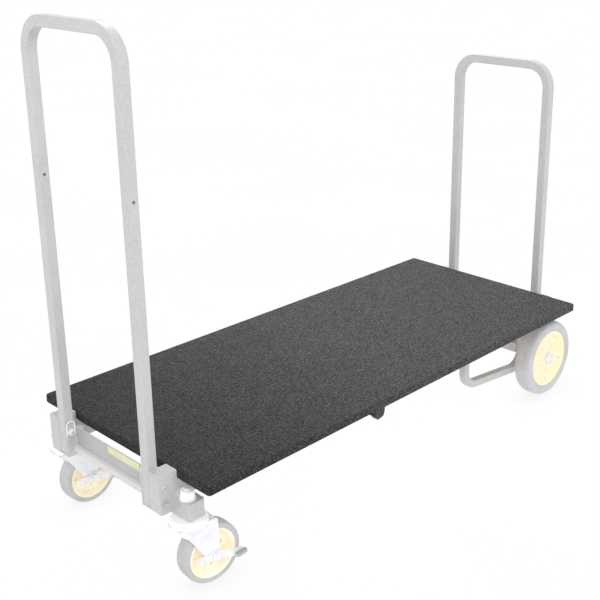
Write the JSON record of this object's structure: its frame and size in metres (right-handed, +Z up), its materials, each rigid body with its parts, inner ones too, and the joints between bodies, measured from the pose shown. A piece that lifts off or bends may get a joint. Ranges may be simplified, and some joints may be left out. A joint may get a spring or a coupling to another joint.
{
  "type": "platform luggage cart",
  "caption": "Low platform luggage cart with a carpeted deck, folding U-shaped square-tube handles, braked swivel casters at one end and larger fixed wheels at the other.",
  "frame": {"origin": "on the ground, at the middle of the cart's length and width", "axes": "+X from the swivel casters towards the large fixed wheels, +Y across the cart to the far side, +Z up"},
  "size_m": [1.3264, 0.556, 1.067],
  "materials": {
    "frame": "semi-gloss hammertone",
    "zinc": "bright zinc plate",
    "plastic": "fine grain",
    "tyre": "matte rubber",
    "hub": "moulded satin",
    "board": "plain board",
    "carpet": "short cut pile"
  },
  "bodies": {
    "front_base": {"outer_rails": "frame", "front_cross_member": "frame", "rail_centre_brace": "frame", "front_corner_brackets": "frame", "caster_outriggers": "frame", "clamp_bosses": "frame", "front_bracket_caps": "plastic", "rail_guide_bushes": "plastic", "front_pivot_bolts": "zinc", "front_pivot_nuts": "zinc", "caster_top_races": "zinc", "caster_stem_bolts": "zinc", "caster_stem_nuts": "zinc", "front_clip_springs": "zinc"},
    "rear_base": {"inner_rails": "frame", "rear_cross_member": "frame", "lower_cross_tube": "frame", "rear_corner_brackets": "frame", "skid_loops": "frame", "axle_plates": "frame", "rear_bracket_caps": "plastic", "inner_rail_glides": "plastic", "rear_axle": "zinc", "rear_axle_nuts": "zinc", "rear_pivot_bolts": "zinc", "rear_pivot_nuts": "zinc", "rear_clip_springs": "zinc"},
    "front_handle": {"front_handle": "frame", "front_leg_plugs": "plastic"},
    "front_lock_pin_near": {"front_lock_pin_near": "plastic"},
    "front_lock_pin_far": {"front_lock_pin_far": "plastic"},
    "rear_handle": {"rear_handle": "frame", "rear_leg_plugs": "plastic"},
    "rear_lock_pin_near": {"rear_lock_pin_near": "plastic"},
    "rear_lock_pin_far": {"rear_lock_pin_far": "plastic"},
    "clamp_stud_near": {"clamp_stud_near": "zinc"},
    "clamp_knob_near": {"clamp_knob_near": "plastic"},
    "rear_wheel_near": {"rear_tyre_near": "tyre", "rear_hub_near": "hub", "rear_bearings_near": "zinc"},
    "caster_fork_near": {"caster_fork_near": "zinc", "caster_axle_near": "zinc"},
    "caster_wheel_near": {"caster_tyre_near": "tyre", "caster_hub_near": "hub"},
    "brake_near": {"brake_lever_near": "zinc", "brake_pedal_near": "plastic"},
    "clamp_stud_far": {"clamp_stud_far": "zinc"},
    "clamp_knob_far": {"clamp_knob_far": "plastic"},
    "rear_wheel_far": {"rear_tyre_far": "tyre", "rear_hub_far": "hub", "rear_bearings_far": "zinc"},
    "caster_fork_far": {"caster_fork_far": "zinc", "caster_axle_far": "zinc"},
    "caster_wheel_far": {"caster_tyre_far": "tyre", "caster_hub_far": "hub"},
    "brake_far": {"brake_lever_far": "zinc", "brake_pedal_far": "plastic"},
    "deck": {"deck_board": "board", "deck_carpet": "carpet", "deck_battens": "board"}
  },
  "joints": [
    {"name": "telescope", "type": "slide", "parent": "front_base", "child": "rear_base", "axis": [1, 0, 0], "range_m": [-0.005, 0.02]},
    {"name": "deck_lift", "type": "slide", "parent": "front_base", "child": "deck", "axis": [0, 0, -1], "range_m": [-0.25, 0]},
    {"name": "front_handle_fold", "type": "hinge", "parent": "front_base", "child": "front_handle", "pos_m": [-0.6521, 0, 0.224], "axis": [0, 1, 0], "range_deg": [0, 35]},
    {"name": "rear_handle_fold", "type": "hinge", "parent": "rear_base", "child": "rear_handle", "pos_m": [0.647, 0, 0.224], "axis": [0, -1, 0], "range_deg": [0, 18]},
    {"name": "front_lock_near", "type": "slide", "parent": "front_base", "child": "front_lock_pin_near", "axis": [0, -1, 0], "range_m": [-0.0055, 0]},
    {"name": "front_lock_far", "type": "slide", "parent": "front_base", "child": "front_lock_pin_far", "axis": [0, 1, 0], "range_m": [-0.0055, 0]},
    {"name": "rear_lock_near", "type": "slide", "parent": "rear_base", "child": "rear_lock_pin_near", "axis": [0, -1, 0], "range_m": [-0.0055, 0]},
    {"name": "rear_lock_far", "type": "slide", "parent": "rear_base", "child": "rear_lock_pin_far", "axis": [0, 1, 0], "range_m": [-0.0055, 0]},
    {"name": "clamp_travel_near", "type": "slide", "parent": "front_base", "child": "clamp_stud_near", "axis": [0, -1, 0], "range_m": [0, 0.0015]},
    {"name": "clamp_turn_near", "type": "hinge", "parent": "clamp_stud_near", "child": "clamp_knob_near", "pos_m": [-0.116, -0.236, 0.198], "axis": [0, -1, 0], "range_deg": [0, 360.5]},
    {"name": "rear_wheel_spin_near", "type": "hinge", "parent": "rear_base", "child": "rear_wheel_near", "pos_m": [0.5616, -0.229, 0.1016], "axis": [0, 1, 0], "continuous": true},
    {"name": "caster_swivel_near", "type": "hinge", "parent": "front_base", "child": "caster_fork_near", "pos_m": [-0.6145, -0.206, 0.14], "axis": [0, 0, 1], "continuous": true},
    {"name": "caster_spin_near", "type": "hinge", "parent": "caster_fork_near", "child": "caster_wheel_near", "pos_m": [-0.57568, -0.20974, 0.0635], "axis": [0.0958, 0.9954, 0], "continuous": true},
    {"name": "brake_press_near", "type": "hinge", "parent": "caster_fork_near", "child": "brake_near", "pos_m": [-0.57568, -0.20974, 0.0635], "axis": [0.0958, 0.9954, 0], "range_deg": [0, 15]},
    {"name": "clamp_travel_far", "type": "slide", "parent": "front_base", "child": "clamp_stud_far", "axis": [0, 1, 0], "range_m": [0, 0.0015]},
    {"name": "clamp_turn_far", "type": "hinge", "parent": "clamp_stud_far", "child": "clamp_knob_far", "pos_m": [-0.116, 0.236, 0.198], "axis": [0, 1, 0], "range_deg": [0, 360.5]},
    {"name": "rear_wheel_spin_far", "type": "hinge", "parent": "rear_base", "child": "rear_wheel_far", "pos_m": [0.5616, 0.229, 0.1016], "axis": [0, 1, 0], "continuous": true},
    {"name": "caster_swivel_far", "type": "hinge", "parent": "front_base", "child": "caster_fork_far", "pos_m": [-0.6145, 0.206, 0.14], "axis": [0, 0, 1], "continuous": true},
    {"name": "caster_spin_far", "type": "hinge", "parent": "caster_fork_far", "child": "caster_wheel_far", "pos_m": [-0.57552, 0.20736, 0.0635], "axis": [-0.0349, 0.9994, 0], "continuous": true},
    {"name": "brake_press_far", "type": "hinge", "parent": "caster_fork_far", "child": "brake_far", "pos_m": [-0.57552, 0.20736, 0.0635], "axis": [-0.0349, 0.9994, 0], "range_deg": [0, 15]}
  ],
  "couplings": [
    {"joint": "clamp_turn_near", "follows": "clamp_travel_near", "rad_per_m": 4188.8},
    {"joint": "clamp_turn_far", "follows": "clamp_travel_far", "rad_per_m": 4188.8}
  ]
}
